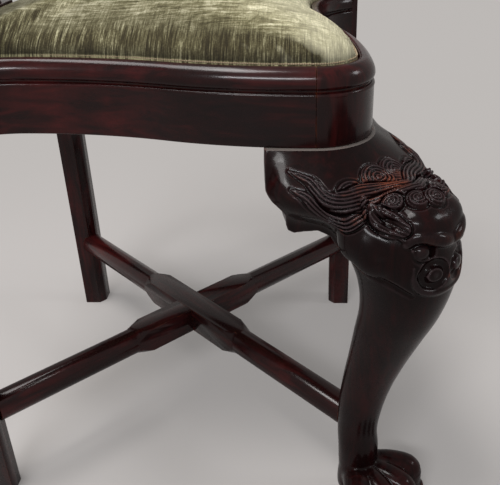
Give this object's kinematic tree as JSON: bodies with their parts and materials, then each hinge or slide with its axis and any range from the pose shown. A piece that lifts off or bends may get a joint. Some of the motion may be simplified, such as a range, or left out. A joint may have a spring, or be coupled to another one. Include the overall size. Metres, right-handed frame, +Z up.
{
  "type": "corner chair",
  "caption": "Mahogany corner chair with a lion-mask cabriole front leg, paw foot, moulded serpentine rails, pierced splats, cross stretcher and lift-out velvet seat.",
  "frame": {"origin": "on the floor under the centre of the square seat", "axes": "+X to the sitter's left-hand side post seen from the front (right leg), +Y towards the back leg, +Z up; front leg towards -Y"},
  "size_m": [0.6244, 0.6828, 0.776],
  "materials": {
    "mahogany": "waxed and polished, dark",
    "secondary_wood": "raw, planed",
    "velvet": "pile",
    "hair": "matted",
    "hessian": "woven",
    "webbing": "woven",
    "iron": "dark"
  },
  "bodies": {
    "chair_frame": {"front_leg": "mahogany", "left_leg": "mahogany", "right_leg": "mahogany", "back_leg": "mahogany", "seat_rail_front_left": "mahogany", "seat_rail_front_right": "mahogany", "seat_rail_back_right": "mahogany", "seat_rail_back_left": "mahogany", "knee_bracket_left": "mahogany", "knee_bracket_right": "mahogany", "stretcher_left_right": "mahogany", "stretcher_front_back": "mahogany", "corner_block_front": "secondary_wood", "corner_block_left": "secondary_wood", "corner_block_right": "secondary_wood", "corner_block_back": "secondary_wood", "splat_right": "mahogany", "splat_left": "mahogany", "splat_shoe_right": "mahogany", "splat_shoe_left": "mahogany", "crest_screws": "iron", "arm_right": "mahogany", "arm_left": "mahogany", "crest": "mahogany"},
    "seat": {"slip_frame_front_left": "secondary_wood", "slip_frame_front_right": "secondary_wood", "slip_frame_back_right": "secondary_wood", "slip_frame_back_left": "secondary_wood", "webbing": "webbing", "hessian": "hessian", "stuffing": "hair", "seat_cover": "velvet", "tacks": "iron"}
  },
  "joints": [
    {"name": "seat_lift", "type": "slide", "parent": "chair_frame", "child": "seat", "axis": [0, 0, 1], "range_m": [0, 0.37]}
  ]
}
